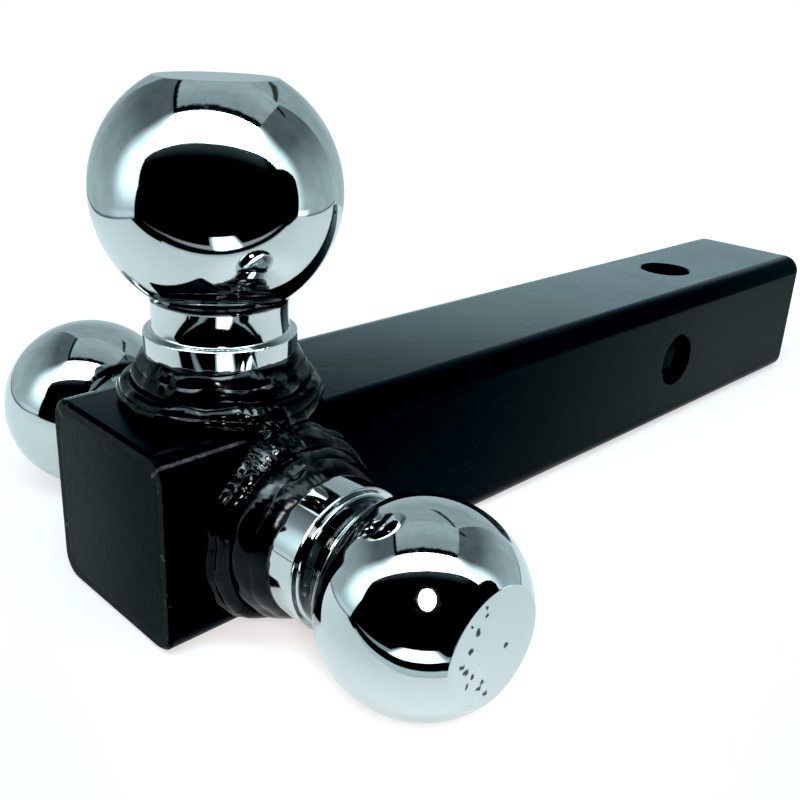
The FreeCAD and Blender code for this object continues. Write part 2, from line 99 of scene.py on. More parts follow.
# ------------------------------------------------------------------ node helpers
class Tree:
    """Short names for building a node tree."""

    def __init__(self, owner):
        owner.use_nodes = True
        self.t = owner.node_tree
        self.t.nodes.clear()

    def new(self, kind, **props):
        n = self.t.nodes.new(kind)
        for k, val in props.items():
            setattr(n, k, val)
        return n

    def link(self, a, b):
        self.t.links.new(a, b)

    def put(self, socket, value):
        if isinstance(value, bpy.types.NodeSocket):
            self.link(value, socket)
        else:
            socket.default_value = value

    def math(self, op, a, b=None, c=None, clamp=False):
        n = self.new("ShaderNodeMath", operation=op, use_clamp=clamp)
        for i, val in enumerate((a, b, c)):
            if val is not None:
                self.put(n.inputs[i], val)
        return n.outputs[0]

    def vmath(self, op, a, b=None):
        n = self.new("ShaderNodeVectorMath", operation=op)
        self.put(n.inputs[0], a)
        if b is not None:
            self.put(n.inputs[1], b)
        return n.outputs["Value"] if op in ("DOT_PRODUCT", "LENGTH", "DISTANCE") else n.outputs[0]

    def scaled(self, vec, sx, sy, sz):
        n = self.new("ShaderNodeVectorMath", operation="MULTIPLY")
        self.put(n.inputs[0], vec)
        n.inputs[1].default_value = (sx, sy, sz)
        return n.outputs[0]

    def split(self, vec):
        n = self.new("ShaderNodeSeparateXYZ")
        self.link(vec, n.inputs[0])
        return n.outputs

    def noise(self, vec, scale, detail=2.0, rough=0.5, distort=0.0):
        n = self.new("ShaderNodeTexNoise")
        self.link(vec, n.inputs["Vector"])
        n.inputs["Scale"].default_value = scale
        n.inputs["Detail"].default_value = detail
        n.inputs["Roughness"].default_value = rough
        n.inputs["Distortion"].default_value = distort
        return n.outputs["Fac"]

    def colour_noise(self, vec, scale, detail=1.0):
        n = self.new("ShaderNodeTexNoise")
        self.link(vec, n.inputs["Vector"])
        n.inputs["Scale"].default_value = scale
        n.inputs["Detail"].default_value = detail
        return n.outputs["Color"]

    def step(self, x, lo, hi, a=0.0, b=1.0):
        """Smooth step: a below lo, b above hi (lo may be above hi)."""
        n = self.new("ShaderNodeMapRange", interpolation_type="SMOOTHSTEP", clamp=True)
        self.put(n.inputs["Value"], x)
        if lo < hi:
            vals = (lo, hi, a, b)
        else:
            vals = (hi, lo, b, a)
        for name, val in zip(("From Min", "From Max", "To Min", "To Max"), vals):
            n.inputs[name].default_value = val
        return n.outputs["Result"]

    def mixf(self, f, a, b):
        n = self.new("ShaderNodeMix", data_type="FLOAT")
        self.put(n.inputs[0], f)
        self.put(n.inputs[2], a)
        self.put(n.inputs[3], b)
        return n.outputs[0]

    def mixc(self, f, a, b):
        n = self.new("ShaderNodeMix", data_type="RGBA")
        self.put(n.inputs[0], f)
        for i, val in ((6, a), (7, b)):
            self.put(n.inputs[i], val if isinstance(val, bpy.types.NodeSocket) else (*val, 1.0))
        return n.outputs[2]

    def bump(self, height, distance, strength=1.0, normal=None):
        n = self.new("ShaderNodeBump")
        n.inputs["Strength"].default_value = strength
        n.inputs["Distance"].default_value = distance
        self.link(height, n.inputs["Height"])
        if normal is not None:
            self.link(normal, n.inputs["Normal"])
        return n.outputs[0]


# ------------------------------------------------------------------ studio
# A small light tent round the object: white cloth over the opening where the
# camera stands, grey cloth walls and roof with sewn edges, a pale floor board.
# Distances are p (towards the camera), q (sideways) and height.
cam_dir = Vector((0.7151, 0.6990, 0.0))
side_dir = Vector((-0.6990, 0.7151, 0.0))
LEFT, RIGHT, BACK, ROOF = -0.46, 0.29, -0.30, 0.72
FRONT_LOW, FRONT_TOP = 0.308, 0.246
ARCH = 8.0

world = bpy.data.worlds.new("Studio")
bpy.context.scene.world = world
w = Tree(world)
plain = w.new("ShaderNodeLightPath").outputs["Is Camera Ray"]
bg_dark = w.new("ShaderNodeBackground")
bg_dark.inputs["Color"].default_value = (0.004, 0.004, 0.004, 1.0)
bg_plain = w.new("ShaderNodeBackground")
bg_plain.inputs["Color"].default_value = (1.0, 1.0, 1.0, 1.0)
bg_plain.inputs["Strength"].default_value = 1.02
mix = w.new("ShaderNodeMixShader")
w.link(plain, mix.inputs[0])
w.link(bg_dark.outputs[0], mix.inputs[1])
w.link(bg_plain.outputs[0], mix.inputs[2])
out = w.new("ShaderNodeOutputWorld")
w.link(mix.outputs[0], out.inputs["Surface"])


def stage_mesh(name, polys, material, camera=False):
    """Flat stage sheets from (p, q, height) corners."""
    verts, faces = [], []
    for poly in polys:
        faces.append(tuple(range(len(verts), len(verts) + len(poly))))
        verts += [tuple(cam_dir * a + side_dir * b + Vector((0, 0, c))) for a, b, c in poly]
    me = bpy.data.meshes.new(name)
    me.from_pydata(verts, [], faces)
    me.update()
    o = bpy.data.objects.new(name, me)
    bpy.context.scene.collection.objects.link(o)
    me.materials.append(material)
    o.visible_camera = camera
    return o


def cloth(name, level):
    """Glowing cloth; level(t, P, Q, Z, pos) gives how bright it is at a place."""
    m = bpy.data.materials.new(name)
    t = Tree(m)
    pos = t.new("ShaderNodeTexCoord").outputs["Object"]
    P = t.vmath("DOT_PRODUCT", pos, tuple(cam_dir))
    Q = t.vmath("DOT_PRODUCT", pos, tuple(side_dir))
    Z = t.split(pos)[2]
    light = level(t, P, Q, Z, pos)
    folds = t.noise(pos, 9.0, 3.0, 0.55)
    light = t.math("MULTIPLY", light, t.mixf(folds, 0.72, 1.28))
    e = t.new("ShaderNodeEmission")
    c = t.new("ShaderNodeCombineColor")
    t.put(c.inputs[0], t.math("MULTIPLY", light, 0.760))
    t.put(c.inputs[1], light)
    t.put(c.inputs[2], t.math("MULTIPLY", light, 1.060))
    t.link(c.outputs[0], e.inputs["Color"])
    o = t.new("ShaderNodeOutputMaterial")
    t.link(e.outputs[0], o.inputs["Surface"])
    return m


def near(t, x, at, half, pos, wobble=0.010):
    """1 on a wobbly line where x is at, falling to 0 at half away."""
    n = t.math("MULTIPLY", t.math("SUBTRACT", t.noise(pos, 24.0, 2.0), 0.5), 2 * wobble)
    d = t.math("ABSOLUTE", t.math("ADD", t.math("SUBTRACT", x, at), n))
    return t.step(d, half, half * 0.45)


def wall_level(t, P, Q, Z, pos):
    grey = t.step(Z, 0.42, 0.02, 0.15, 0.56)
    grey = t.math("MULTIPLY", grey, t.step(P, 0.00, -0.26, 1.0, 1.05))
    shift = t.math("ADD", P, t.step(Z, 0.15, 0.50, 0.0, -0.06))
    white = t.step(shift, 0.130, 0.245)
    white = t.math("MULTIPLY", white, t.math("MAXIMUM", t.step(Z, 0.00, 0.13, 0.10, 1.0), t.step(Q, -0.1, 0.1)))
    level = t.mixf(white, grey, 1.9)
    foot = t.math("MULTIPLY", t.math("MULTIPLY", t.step(Z, 0.014, 0.000), t.step(P, 0.08, 0.16)), t.step(Q, -0.1, 0.1, 0.12, 1.0))
    level = t.mixf(foot, level, 2.4)
    top_seam = t.math("MULTIPLY", near(t, Z, ROOF, 0.026, pos), t.step(Q, 0.1, 0.0))
    fold = near(t, t.math("ADD", Z, t.math("MULTIPLY", P, 1.6)), 0.370, 0.045, pos, 0.02)
    fold = t.math("MULTIPLY", fold, t.math("MULTIPLY", t.step(Q, 0.0, 0.1), t.step(Z, 0.54, 0.60)))
    foot_line = t.step(Z, FLOOR + 0.012, FLOOR + 0.004)
    dark = t.math("MAXIMUM", t.math("MAXIMUM", top_seam, fold), t.math("MULTIPLY", foot_line, 0.8))
    return t.math("MULTIPLY", level, t.mixf(dark, 1.0, 0.10))


def back_level(t, P, Q, Z, pos):
    level = t.step(Z, 0.02, 0.26, 0.62, 0.46)
    # a fold runs up to the roof's corner
    across = t.math("SUBTRACT", Z, t.math("ADD", t.math("MULTIPLY", Q, 1.29), 0.405))
    fold = t.math("MULTIPLY", near(t, across, 0.0, 0.040, pos, 0.012), t.step(Z, 0.33, 0.40))
    return t.math("MULTIPLY", level, t.mixf(fold, 1.0, 0.12))


def roof_level(t, P, Q, Z, pos):
    level = t.step(P, -0.28, 0.20, 0.56, 0.40)
    a_ = near(t, Q, LEFT + 0.004, 0.034, pos, 0.010)
    c_ = near(t, P, FRONT_TOP - 0.034, 0.056, pos, 0.030)
    c_ = t.math("MULTIPLY", c_, t.step(t.noise(pos, 6.0, 1.0), 0.34, 0.44, 0.45, 1.0))
    dark = t.math("MAXIMUM", a_, c_)
    return t.math("MULTIPLY", level, t.mixf(dark, 1.0, 0.03))


def front_level(t, P, Q, Z, pos):
    return t.step(Z, 0.262, 0.292, ARCH * 0.30, ARCH)


def haze_level(t, P, Q, Z, pos):
    # a dim cloth hem hangs into the top of the opening
    return t.math("MULTIPLY", t.step(Z, 0.19, 0.30, 0.0, 0.075), t.step(Q, 0.22, 0.08))


def lean(z):
    return FRONT_LOW - (FRONT_LOW - FRONT_TOP) * (z - 0.29) / (ROOF - 0.29)


hem = [(-0.46, 0.120), (-0.452, 0.200), (-0.432, 0.246), (-0.370, 0.262), (-0.305, 0.269), (-0.22, 0.275),
       (-0.131, 0.277), (0.015, 0.290), (0.100, 0.300), (0.170, 0.300), (0.29, 0.276)]
stage_mesh("tent_front", [[(lean(z), q, z) for q, z in hem] + [(FRONT_TOP, RIGHT, ROOF), (FRONT_TOP, LEFT, ROOF)]],
           cloth("tent_front_cloth", front_level))
stage_mesh("tent_hem", [[(lean(z) + 0.004, q, z) for q, z in hem] + [(lean(0.20), q, 0.19) for q in (0.24, -0.44)]],
           cloth("tent_hem_cloth", haze_level))
side_cloth = cloth("tent_side_cloth", wall_level)
stage_mesh("tent_left", [[(p, LEFT, z) for p, z in ((BACK, FLOOR), (0.295, FLOOR), (lean(0.12), 0.12), (FRONT_LOW, 0.29),
                                                    (FRONT_TOP, ROOF), (BACK, ROOF))]], side_cloth)
stage_mesh("tent_right", [[(p, RIGHT, z) for p, z in ((BACK, FLOOR), (0.190, FLOOR), (0.190, 0.10), (0.193, 0.165), (0.205, 0.200),
                                                      (0.235, 0.234), (0.270, 0.259), (FRONT_LOW, 0.276), (FRONT_TOP, ROOF), (BACK, ROOF))]], side_cloth)
stage_mesh("tent_back", [[(BACK, LEFT, FLOOR), (BACK, RIGHT, FLOOR), (BACK, RIGHT, ROOF), (BACK, LEFT, ROOF)]],
           cloth("tent_back_cloth", back_level))
stage_mesh("tent_roof", [[(BACK, LEFT, ROOF), (BACK, RIGHT, ROOF), (FRONT_TOP, RIGHT, ROOF), (FRONT_TOP, LEFT, ROOF)]],
           cloth("tent_roof_cloth", roof_level))


def floor_material(name, emission, albedo):
    m = bpy.data.materials.new(name)
    t = Tree(m)
    pos = t.new("ShaderNodeTexCoord").outputs["Object"]
    grain = t.noise(pos, 900.0, 2.0)
    diff = t.new("ShaderNodeBsdfDiffuse")
    t.link(t.mixc(grain, (albedo,) * 3, (albedo * 1.04,) * 3), diff.inputs["Color"])
    glow = t.new("ShaderNodeEmission")
    P = t.vmath("DOT_PRODUCT", pos, tuple(cam_dir))
    Q = t.vmath("DOT_PRODUCT", pos, tuple(side_dir))
    away = t.math("MAXIMUM", t.math("MAXIMUM", t.step(P, BACK + 0.20, BACK + 0.02), t.step(P, 0.214, 0.238)), t.math("MAXIMUM", t.step(Q, LEFT + 0.14, LEFT + 0.01), t.step(Q, RIGHT - 0.14, RIGHT - 0.01)))
    seen = t.new("ShaderNodeLightPath").outputs["Is Camera Ray"]
    t.link(t.mixf(seen, emission, t.mixf(away, emission + 0.16, 1.03)), glow.inputs["Strength"])
    t.link(t.mixc(seen, (0.92, 1.0, 1.0), (1.07, 1.0, 1.0)), glow.inputs["Color"])
    add = t.new("ShaderNodeAddShader")
    t.link(diff.outputs[0], add.inputs[0])
    t.link(glow.outputs[0], add.inputs[1])
    # seen from below, the floor does not hide the underside
    clear = t.new("ShaderNodeBsdfTransparent")
    under = t.new("ShaderNodeMixShader")
    t.link(t.new("ShaderNodeNewGeometry").outputs["Backfacing"], under.inputs[0])
    t.link(add.outputs[0], under.inputs[1])
    t.link(clear.outputs[0], under.inputs[2])
    o = t.new("ShaderNodeOutputMaterial")
    t.link(under.outputs[0], o.inputs["Surface"])
    return m


Z0 = FLOOR - 0.00008
edge = [(0.268, LEFT), (0.262, -0.24), (0.243, -0.10), (0.233, 0.02), (0.226, 0.15), (0.200, RIGHT)]
board = stage_mesh("floor", [[(0.30, -0.75, Z0)] + [(p, q, Z0) for p, q in edge] + [(0.20, 0.75, Z0), (-0.90, 0.75, Z0), (-0.90, -0.75, Z0)]],
                   floor_material("floor_board", 0.42, 0.42), camera=True)
if board.data.polygons[0].normal.z < 0:
    board.data.flip_normals()


def lip_level(t, P, Q, Z, pos):
    mid = t.step(t.math("ABSOLUTE", t.math("SUBTRACT", Q, -0.088)), 0.034, 0.020)
    ends = t.math("MULTIPLY", t.step(Q, -0.36, -0.12, 0.15, 1.0), t.step(Q, 0.14, 0.02, 0.15, 1.0))
    return t.math("MULTIPLY", t.mixf(mid, 0.42, 3.4), ends)


def rim_level(t, P, Q, Z, pos):
    return t.step(Z, FLOOR, FLOOR + 0.006, 0.66, 0.74)


front = [(0.276, -0.38)] + edge[1:5]
middle = [(0.245, -0.124), (0.238, -0.052)]


def strip_quads(line, gap, wide, z_near, z_far):
    out_ = []
    for i in range(len(line) - 1):
        (pa, qa), (pb, qb) = line[i], line[i + 1]
        ga, gb, wa, wb = gap[i], gap[i + 1], wide[i], wide[i + 1]
        out_.append([(pa + ga, qa, FLOOR + z_near), (pa + ga + wa, qa, FLOOR + z_far),
                     (pb + gb + wb, qb, FLOOR + z_far), (pb + gb, qb, FLOOR + z_near)])
    return out_


lip_cloth = cloth("floor_lip_light", lip_level)
stage_mesh("floor_lip", strip_quads(front, [0.030, 0.026, 0.010, 0.016, 0.024], [0.006, 0.009, 0.016, 0.012, 0.007], 0.0105, 0.0112), lip_cloth)
stage_mesh("floor_lip_middle", strip_quads(middle, [0.0275, 0.0275], [0.042, 0.042], 0.0112, 0.0130), lip_cloth)
# the board's cloth turns up a little at its front edge
stage_mesh("floor_rim", strip_quads(edge[1:5], [0.0, 0.0, 0.0, 0.0], [0.001, 0.001, 0.001, 0.001], 0.0, 0.0060), cloth("floor_rim_cloth", rim_level))

# ------------------------------------------------------------------ materials
def principled(t):
    b = t.new("ShaderNodeBsdfPrincipled")
    o = t.new("ShaderNodeOutputMaterial")
    t.link(b.outputs[0], o.inputs["Surface"])
    return b


# small dents in the small ball's crown, in millimetres from its axis, with radius
PITS = [(3.6, 11.3, 0.50), (3.3, 9.4, 0.42), (7.7, 8.9, 0.42), (5.7, 6.5, 0.80), (-3.9, -1.0, 0.60), (7.4, 2.9, 0.52),
        (9.8, 0.2, 0.62), (8.2, -1.5, 0.78), (6.2, -3.8, 0.55), (7.6, -5.2, 0.45), (2.9, -6.7, 0.72), (3.7, -7.9, 0.66), (1.6, -10.3, 0.70)]


# heights on each ball's axis between which the root is painted dark, as a painted dark reflection
ROOT_BAND = {"large": (0.0509, 0.0565), "small": (0.0500, 0.0562), "medium": (0.0484, 0.0514)}


def chrome_material(size):
    d = BALLS[size]
    m = bpy.data.materials.new(size + "_chrome")
    t = Tree(m)
    b = principled(t)
    pos = t.new("ShaderNodeTexCoord").outputs["Object"]
    local = t.vmath("SUBTRACT", pos, tuple(d["centre"]))
    h = t.vmath("DOT_PRODUCT", local, tuple(d["axis"]))
    # paint creeps a little way up the flange from the weld
    edge_noise = t.noise(pos, 300.0, 2.0, 0.5)
    level = t.math("ADD", h, t.math("MULTIPLY", t.math("SUBTRACT", edge_noise, 0.5), -0.0022))
    paint = t.step(level, d["weld_top"] + 0.0005, d["weld_top"] + 0.0003)
    on_flat = t.step(h, d["top"] - 0.00030, d["top"] - 0.00008)
    # pits where the plating is thin on the crown
    if size == "small":
        warped = t.vmath("ADD", local, t.scaled(t.vmath("SUBTRACT", t.colour_noise(pos, 800.0), (0.5, 0.5, 0.5)), 0.0015, 0.0, 0.0015))
        flatpos = t.scaled(warped, 1.0, 0.0, 1.0)
        pits = None
        for px, pz, pr in PITS:
            dist = t.vmath("DISTANCE", flatpos, (px / 1000, 0.0, pz / 1000))
            one = t.step(dist, pr * 0.00135, pr * 0.00070)
            pits = one if pits is None else t.math("MAXIMUM", pits, one)
        specks = t.step(t.noise(pos, 1500.0, 1.0), 0.74, 0.79)
        specks = t.math("MULTIPLY", specks, t.step(t.split(local)[0], 0.000, 0.006))
        pits = t.math("MAXIMUM", pits, t.math("MULTIPLY", specks, 0.6))
        pits = t.math("MULTIPLY", pits, on_flat)
    else:
        vor = t.new("ShaderNodeTexVoronoi", feature="F1")
        t.link(pos, vor.inputs["Vector"])
        vor.inputs["Scale"].default_value = 210.0
        spots = t.step(vor.outputs["Distance"], 0.12, 0.06)
        gate = t.step(t.noise(pos, 130.0, 1.0), 0.56, 0.64)
        pits = t.math("MULTIPLY", t.math("MULTIPLY", spots, gate), 0.5 if size == "medium" else 0.0)
    # painted dark reflection: a dark band in the root between neck and ball stands for the dark bar and welds mirrored
    # there, lit in spots by painted glints
    sway = t.math("MULTIPLY", t.math("SUBTRACT", t.noise(pos, 130.0, 2.0), 0.5), 0.0006)
    hs = t.math("ADD", h, sway)
    r0, r1 = ROOT_BAND[size]
    painted_dark_root_band = t.math("MULTIPLY", t.step(hs, r0 - 0.0003, r0 + 0.0004), t.step(hs, r1 + 0.0006, r1 - 0.0003))
    glint = t.noise(t.scaled(pos, 1.0, 1.0, 1.0), 260.0, 3.0, 0.6)
    painted_dark_root_band = t.math("MULTIPLY", painted_dark_root_band, t.step(glint, 0.62, 0.70, 1.0, 0.72))
    fine = t.noise(pos, 60.0, 2.0)
    tone = t.mixc(fine, (0.635, 0.665, 0.672), (0.685, 0.712, 0.718))
    tone = t.mixc(painted_dark_root_band, tone, (0.020, 0.021, 0.022))
    tone = t.mixc(pits, tone, (0.060, 0.064, 0.068))
    tone = t.mixc(paint, tone, (0.004, 0.0045, 0.005))
    t.link(tone, b.inputs["Base Color"])
    t.link(t.math("SUBTRACT", 1.0, paint), b.inputs["Metallic"])
    scratch = t.noise(t.scaled(pos, 1.0, 1.0, 14.0), 500.0, 4.0, 0.7, 0.6)
    rough = t.step(scratch, 0.45, 0.80, 0.030, 0.070)
    rough = t.math("ADD", rough, t.math("MULTIPLY", on_flat, 0.07))
    rough = t.mixf(paint, rough, 0.16)
    rough = t.mixf(pits, rough, 0.45)
    t.link(rough, b.inputs["Roughness"])
    wave = t.noise(pos, 95.0, 1.0)
    n1 = t.bump(wave, 0.00006, 0.30)
    hair = t.noise(t.scaled(pos, 1.0, 1.0, 10.0), 1800.0, 2.0, 0.6)
    n2 = t.bump(hair, 0.0000012, 0.6, n1)
    n3 = t.bump(t.math("SUBTRACT", 1.0, pits), 0.00016, 0.8, n2)
    t.link(n3, b.inputs["Normal"])
    return m


def shank_material(name):
    m = bpy.data.materials.new(name)
    t = Tree(m)
    b = principled(t)
    pos = t.new("ShaderNodeTexCoord").outputs["Object"]
    x, y, zz = t.split(pos)
    ay, az_ = t.math("ABSOLUTE", y), t.math("ABSOLUTE", zz)
    inside = t.step(t.math("MAXIMUM", ay, az_), 0.01935, 0.01915)
    # powder coat: mill lines of the tube show faintly through it
    streak = t.noise(t.scaled(pos, 1.0, 10.0, 10.0), 70.0, 4.0, 0.6)
    cloud = t.noise(pos, 34.0, 3.0, 0.55)
    tone = t.mixc(streak, (0.0014, 0.0020, 0.0024), (0.0034, 0.0048, 0.0056))
    # bare inside: scale, with a little rust
    scale_n = t.noise(pos, 210.0, 5.0, 0.65)
    rust = t.step(t.noise(pos, 90.0, 4.0, 0.7), 0.52, 0.70)
    steel = t.mixc(scale_n, (0.030, 0.031, 0.033), (0.105, 0.104, 0.104))
    steel = t.mixc(t.math("MULTIPLY", rust, 0.6), steel, (0.085, 0.040, 0.020))
    # overspray reaches in from the open end
    over = t.step(t.math("ADD", x, t.math("MULTIPLY", t.noise(pos, 120.0, 3.0), 0.02)), -0.050, -0.078)
    bare = t.math("MULTIPLY", inside, t.math("SUBTRACT", 1.0, over))
    tone = t.mixc(bare, tone, steel)
    # wear: small nicks on the edges of the open end and along the corners
    rim = t.math("MAXIMUM", t.step(x, -0.0960, -0.0968), t.step(x, 0.2196, 0.2203))
    corner = t.math("MULTIPLY", t.step(t.math("ADD", ay, az_), 0.0462, 0.0470), t.step(x, -0.080, -0.092))
    nick = t.step(t.noise(pos, 620.0, 3.0, 0.7), 0.62, 0.70)
    worn = t.math("MULTIPLY", nick, rim)
    worn = t.math("MAXIMUM", worn, t.math("MULTIPLY", t.math("MULTIPLY", corner, t.step(t.noise(pos, 300.0, 4.0, 0.75), 0.66, 0.72)), 0.5))
    tone = t.mixc(worn, tone, (0.075, 0.076, 0.080))
    # painted highlight: a thin light line along the top corners near the closed end stands for the corner's
    # reflection, broken up by noise
    corner_painted_highlight = t.step(t.math("ABSOLUTE", t.math("SUBTRACT", ay, zz)), 0.00085, 0.00030)
    corner_painted_highlight = t.math("MULTIPLY", corner_painted_highlight, t.step(x, 0.196, 0.203))
    corner_painted_highlight = t.math("MULTIPLY", corner_painted_highlight, t.step(t.noise(pos, 700.0, 3.0, 0.7), 0.36, 0.62, 0.25, 1.0))
    tone = t.mixc(t.math("MULTIPLY", corner_painted_highlight, 0.9), tone, (0.085, 0.088, 0.092))
    t.link(tone, b.inputs["Base Color"])
    rough = t.mixf(streak, 0.17, 0.30)
    rough = t.math("ADD", rough, t.math("MULTIPLY", t.math("SUBTRACT", cloud, 0.5), 0.10))
    rough = t.mixf(bare, rough, 0.62)
    t.link(rough, b.inputs["Roughness"])
    # painted sheen and shade: the specular level is set by place, highest mid-way along the top and sides, lower
    # towards both ends, and lowest on the rounded corners away from the balls
    rounded = t.math("MULTIPLY", t.step(t.math("MINIMUM", ay, az_), FLAT - 0.0004, FLAT + 0.0008), t.step(x, 0.14, 0.02))
    above = t.math("SUBTRACT", t.step(x, 0.165, 0.06, 0.335, 0.665), t.step(x, 0.02, -0.09, 0.0, 0.310))
    beside = t.math("SUBTRACT", t.step(x, 0.15, 0.00, 0.290, 0.490), t.step(x, -0.02, -0.09, 0.0, 0.160))
    coat = t.mixf(t.step(ay, HALF - 0.0004, HALF - 0.0001), above, beside)
    t.link(t.mixf(rounded, coat, 0.180), b.inputs["Specular IOR Level"])
    b.inputs["Specular Tint"].default_value = (0.72, 1.0, 1.10, 1.0)
    b.inputs["IOR"].default_value = 1.13
    peel = t.noise(pos, 620.0, 2.0, 0.45)
    n1 = t.bump(peel, 0.00006, 0.20)
    n2 = t.bump(streak, 0.00014, 0.25, n1)
    n2 = t.bump(cloud, 0.00060, 0.25, n2)
    n3 = t.bump(scale_n, 0.00010, 0.25, n2)
    mixn = t.new("ShaderNodeMix", data_type="VECTOR")
    t.link(bare, mixn.inputs[0])
    t.link(n2, mixn.inputs[4])
    t.link(n3, mixn.inputs[5])
    t.link(mixn.outputs[1], b.inputs["Normal"])
    return m


def front_material(name):
    """The closed end: ground flush, then coated. The seam round the cap still shows."""
    m = bpy.data.materials.new(name)
    t = Tree(m)
    b = principled(t)
    pos = t.new("ShaderNodeTexCoord").outputs["Object"]
    x, y, zz = t.split(pos)
    wob = t.math("MULTIPLY", t.math("SUBTRACT", t.noise(pos, 160.0, 3.0, 0.6), 0.5), 0.0016)
    ring = t.math("ADD", t.math("MAXIMUM", t.math("ABSOLUTE", y), t.math("ABSOLUTE", zz)), wob)
    grind = t.noise(t.scaled(pos, 1.0, 11.0, 0.8), 210.0, 3.0, 0.6, 0.4)
    blot = t.noise(pos, 120.0, 4.0, 0.6)
    tone = t.mixc(blot, (0.0018, 0.0028, 0.0034), (0.0044, 0.0062, 0.0072))
    t.link(tone, b.inputs["Base Color"])
    rough = t.mixf(grind, 0.22, 0.34)
    t.link(rough, b.inputs["Roughness"])
    # painted shade: the specular level falls across the closed end from one side to the other
    t.link(t.step(y, -0.018, 0.018, 0.500, 0.270), b.inputs["Specular IOR Level"])
    b.inputs["Specular Tint"].default_value = (0.72, 1.0, 1.10, 1.0)
    b.inputs["IOR"].default_value = 1.13

    def groove(at, half):
        return t.step(t.math("ABSOLUTE", t.math("SUBTRACT", ring, at)), half, half * 0.2)

    seams_ = t.math("MAXIMUM", groove(HALF - 0.0031, 0.00045), t.math("MULTIPLY", groove(HALF - 0.0064, 0.00040), 0.7))
    peel = t.noise(pos, 620.0, 2.0, 0.45)
    n1 = t.bump(peel, 0.00006, 0.20)
    n2 = t.bump(grind, 0.00010, 0.18, n1)
    n3 = t.bump(blot, 0.00030, 0.22, n2)
    n4 = t.bump(t.math("SUBTRACT", 1.0, seams_), 0.00008, 0.22, n3)
    t.link(n4, b.inputs["Normal"])
    return m


def weld_material(name):
    m = bpy.data.materials.new(name)
    t = Tree(m)
    b = principled(t)
    pos = t.new("ShaderNodeTexCoord").outputs["Object"]
    n_a = t.noise(pos, 160.0, 3.0, 0.55)
    tone = t.mixc(n_a, (0.0018, 0.0020, 0.0022), (0.0042, 0.0046, 0.0050))
    t.link(tone, b.inputs["Base Color"])
    t.link(t.mixf(t.noise(pos, 140.0, 2.0, 0.5), 0.10, 0.22), b.inputs["Roughness"])
    # the specular level varies at random, and is raised in spots round the point where the two beads meet as painted
    # glints
    gloss = t.step(t.noise(pos, 70.0, 1.0, 0.4), 0.30, 0.70, 0.105, 0.275)
    meeting = t.step(t.vmath("DISTANCE", pos, (0.193, 0.024, 0.027)), 0.025, 0.012)
    painted_glints = t.math("MULTIPLY", t.step(t.noise(pos, 330.0, 1.0, 0.4), 0.50, 0.66), meeting)
    t.link(t.mixf(painted_glints, gloss, 1.0), b.inputs["Specular IOR Level"])
    b.inputs["IOR"].default_value = 1.40
    peel = t.noise(pos, 420.0, 2.0, 0.5)
    n1 = t.bump(peel, 0.00008, 0.22)
    pores = t.step(t.noise(pos, 520.0, 2.0, 0.6), 0.72, 0.80)
    n2 = t.bump(t.math("SUBTRACT", 1.0, pores), 0.00008, 0.4, n1)
    t.link(n2, b.inputs["Normal"])
    return m


def root_material(name):
    m = bpy.data.materials.new(name)
    t = Tree(m)
    b = principled(t)
    pos = t.new("ShaderNodeTexCoord").outputs["Object"]
    n_a = t.noise(pos, 300.0, 3.0, 0.6)
    t.link(t.mixc(n_a, (0.16, 0.15, 0.145), (0.34, 0.33, 0.32)), b.inputs["Base Color"])
    t.link(t.mixf(n_a, 0.30, 0.55), b.inputs["Roughness"])
    b.inputs["Metallic"].default_value = 1.0
    t.link(t.bump(n_a, 0.0002, 0.5), b.inputs["Normal"])
    return m


def dress(obj, material):
    for i in range(max(1, len(obj.data.materials))):
        if len(obj.data.materials) <= i:
            obj.data.materials.append(material)
        obj.data.materials[i] = material
        obj.material_slots[i].material = material


SHANK = shank_material("shank_powder_coat")
FRONT = front_material("front_powder_coat")
WELD = weld_material("weld_gloss_coat")
ROOT = root_material("root_bead_steel")
dress(nodes["shank_tube"], SHANK)
dress(nodes["front_end_cap"], FRONT)
dress(nodes["front_cap_weld"], FRONT)
for size in BALLS:
    dress(nodes[size + "_ball"], chrome_material(size))
    dress(nodes[size + "_ball_weld_root_pass"], ROOT)


# ------------------------------------------------------------------ weld beads
def tube_height(t):
    """Height of the tube's outside above its own axis, at t off the middle."""
    t = np.abs(t)
    out_ = np.where(t < FLAT, HALF, FLAT + np.sqrt(np.maximum(CORNER ** 2 - (np.minimum(t, HALF) - FLAT) ** 2, 0)))
    return out_


def wave_noise(rng, theta, periods, amp):
    """Smooth periodic noise round the ring."""
    out_ = np.zeros_like(theta)
    for k in periods:
        out_ += np.cos(k * theta + rng.uniform(0, 2 * np.pi)) * rng.uniform(0.5, 1.0)
    return out_ * amp / max(1.0, math.sqrt(len(periods)))


def arc_points(p0, p1, bulge, s):
    """Circular arc from p0 to p1 bulging to the right of the chord p0->p1 (outwards).
    p0, p1 are arrays (n, 2) and bulge an array (n,); s is (m,). Returns points and normals (n, m, 2)."""
    d = p1 - p0
    c = np.linalg.norm(d, axis=1)
    e = d / c[:, None]
    nrm = np.stack([e[:, 1], -e[:, 0]], 1)
    R = (c ** 2 / 4 + bulge ** 2) / (2 * bulge)
    half = np.arcsin(np.clip(c / 2 / R, -1, 1))
    a = (s[None, :] * 2 - 1) * half[:, None]
    mid = (p0 + p1) / 2
    x = R[:, None] * np.sin(a)
    y = R[:, None] * np.cos(a) - (R - bulge)[:, None]
    pts = mid[:, None] + x[..., None] * e[:, None] + y[..., None] * nrm[:, None]
    nn = np.sin(a)[..., None] * e[:, None] + np.cos(a)[..., None] * nrm[:, None]
    return pts, nn


def lump(co, scale, seed):
    o = Vector((seed * 3.1, seed * 1.7, seed * 2.3))
    return np.array([noise.noise(Vector(c) * scale + o) for c in co.reshape(-1, 3)]).reshape(co.shape[:-1])


